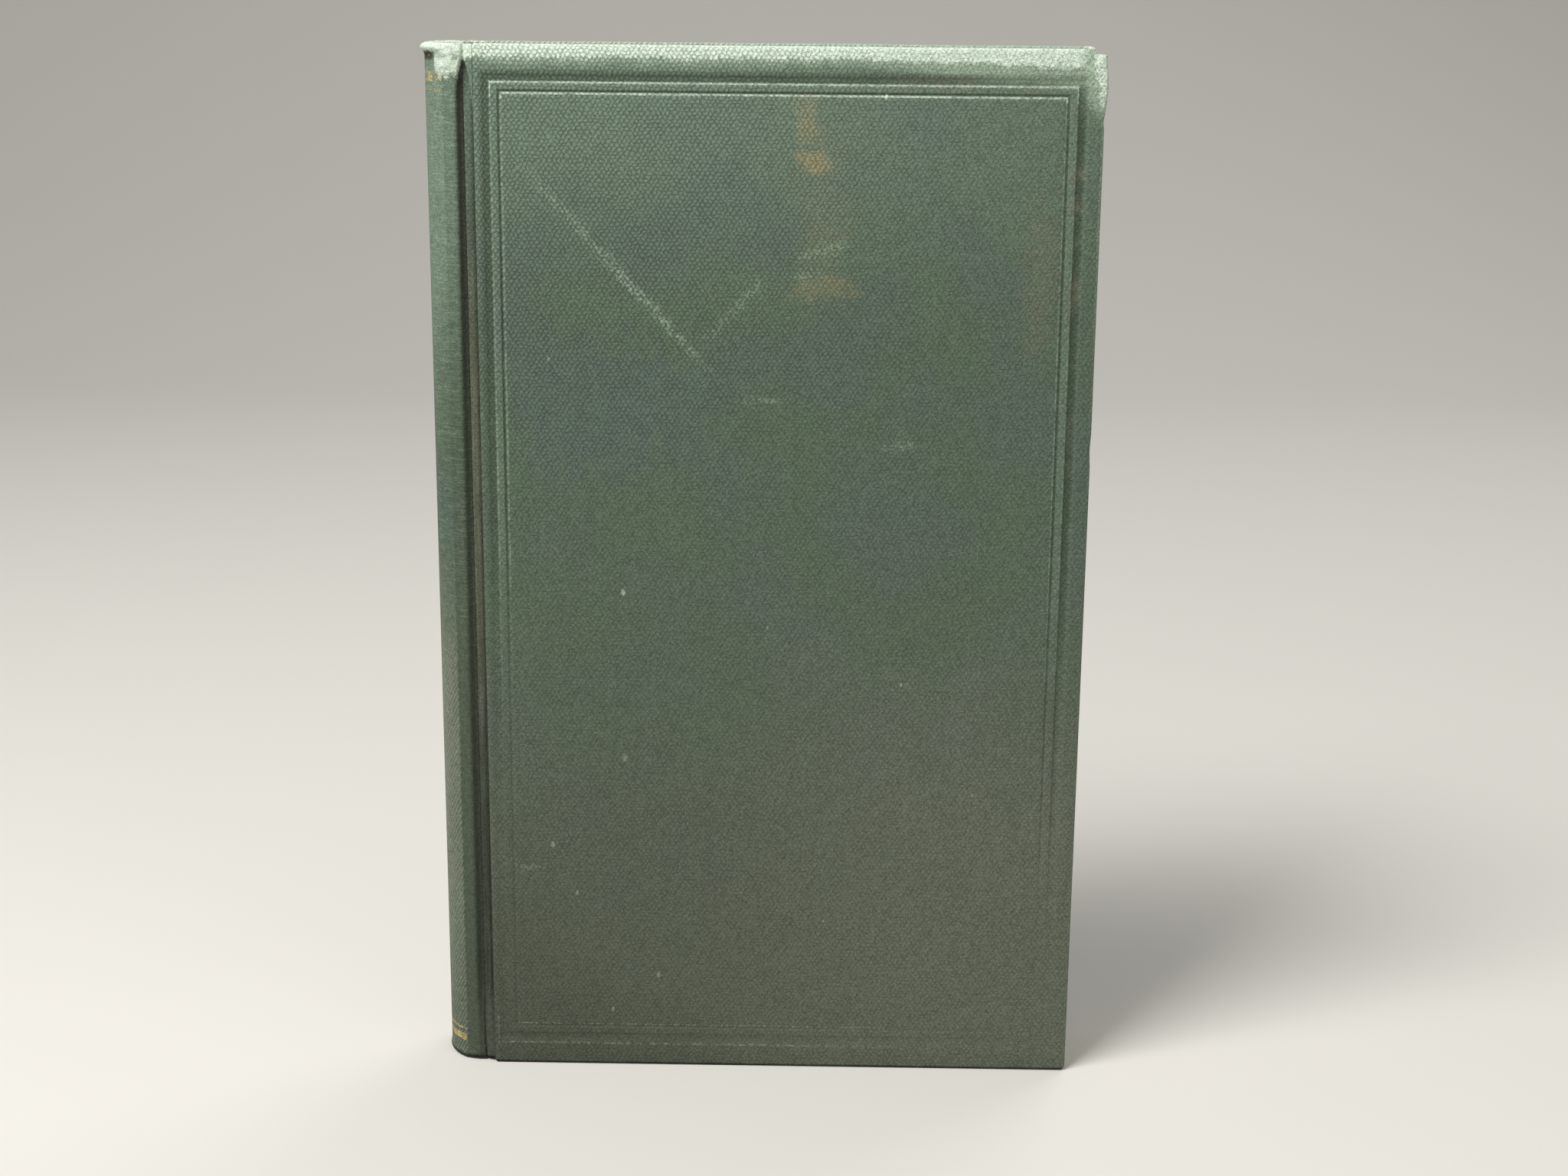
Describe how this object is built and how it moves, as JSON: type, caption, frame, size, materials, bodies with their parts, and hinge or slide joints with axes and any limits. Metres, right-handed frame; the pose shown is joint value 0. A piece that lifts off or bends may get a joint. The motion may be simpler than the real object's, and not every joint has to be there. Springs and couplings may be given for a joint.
{
  "type": "hardback book",
  "caption": "Cloth-bound hardback book with a round spine, French joints, blind-stamped covers that open, and hollow fore-edge.",
  "frame": {"origin": "under the middle of the closed book's box, on the surface that it stands on", "axes": "+Z from tail to head, +X from spine to fore-edge, +Y from the front cover to the back cover"},
  "size_m": [0.1306, 0.02, 0.21],
  "materials": {
    "book_cloth": "matte",
    "leaves": "matte",
    "endpaper": "matte",
    "board": "matte",
    "mull": "matte",
    "headband": "satin"
  },
  "bodies": {
    "book_block": {"text_block": "leaves", "front_flyleaf": "endpaper", "back_flyleaf": "endpaper", "spine_mull": "mull", "headband": "headband", "tailband": "headband", "spine_inlay": "board", "spine_cloth": "book_cloth", "front_joint_cloth": "book_cloth", "back_joint_cloth": "book_cloth"},
    "front_cover": {"front_board": "board", "front_cloth": "book_cloth", "front_mull_wing": "mull", "front_pastedown": "endpaper"},
    "back_cover": {"back_board": "board", "back_cloth": "book_cloth", "back_mull_wing": "mull", "back_pastedown": "endpaper"}
  },
  "joints": [
    {"name": "front_cover_hinge", "type": "hinge", "parent": "book_block", "child": "front_cover", "pos_m": [-0.05675, -0.00975, 0.105], "axis": [0, 0, -1], "range_deg": [0, 178], "deforming": ["front_joint_cloth"]},
    {"name": "back_cover_hinge", "type": "hinge", "parent": "book_block", "child": "back_cover", "pos_m": [-0.05675, 0.00975, 0.105], "axis": [0, 0, 1], "range_deg": [0, 178], "deforming": ["back_joint_cloth"]}
  ]
}
